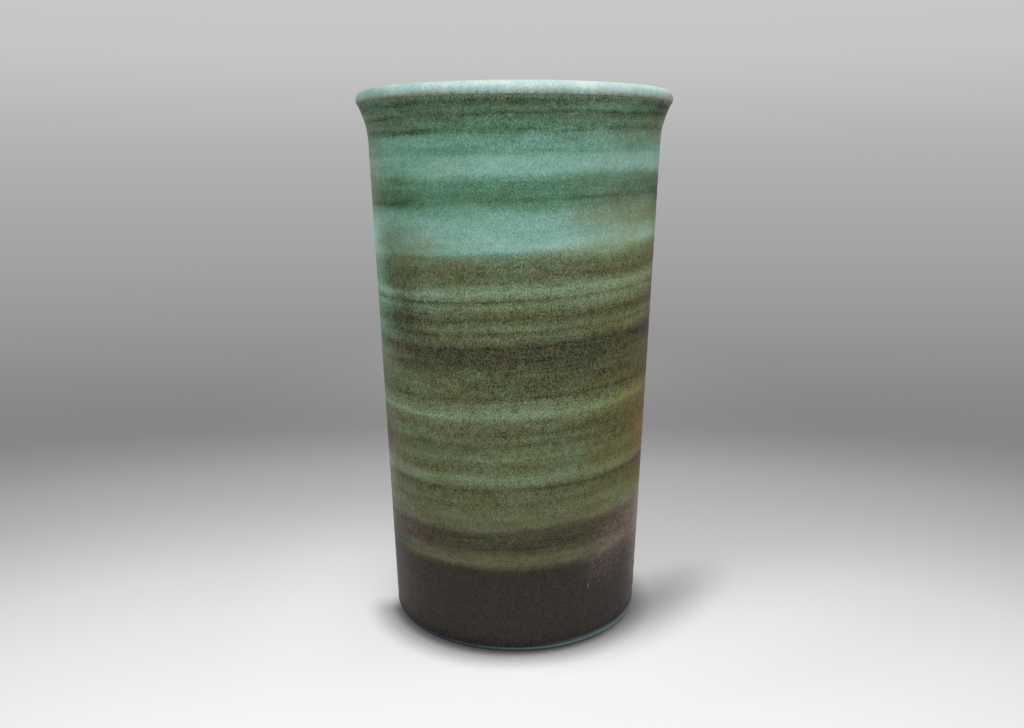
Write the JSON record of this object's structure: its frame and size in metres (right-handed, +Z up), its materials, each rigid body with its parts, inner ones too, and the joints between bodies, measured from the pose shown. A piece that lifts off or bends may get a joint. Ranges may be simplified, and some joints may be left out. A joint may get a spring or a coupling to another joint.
{
  "type": "vase",
  "caption": "Tall thrown stoneware vase with a slightly tapered wall, short flared neck, round lip and turned foot ring, under banded green, dark and pale glazes.",
  "frame": {"origin": "on the vase's axis at the flat underside of the foot ring, where it stands on the table", "axes": "+Z up along the vase's axis, from the foot to the mouth; the vase is round, so +X and +Y are any two level directions"},
  "size_m": [0.1504, 0.1504, 0.26],
  "materials": {
    "stoneware_clay": "matte",
    "liner_glaze": "gloss",
    "dark_glaze": "satin",
    "green_glaze": "satin",
    "lip_glaze": "satin",
    "foot_glaze": "satin"
  },
  "bodies": {
    "root": {"foot_ring": "stoneware_clay", "clay_floor": "stoneware_clay", "clay_wall": "stoneware_clay", "clay_neck": "stoneware_clay", "clay_lip": "stoneware_clay", "liner_glaze": "liner_glaze", "dark_glaze": "dark_glaze", "green_glaze": "green_glaze", "lip_glaze": "lip_glaze", "foot_glaze_line": "foot_glaze"}
  },
  "joints": []
}
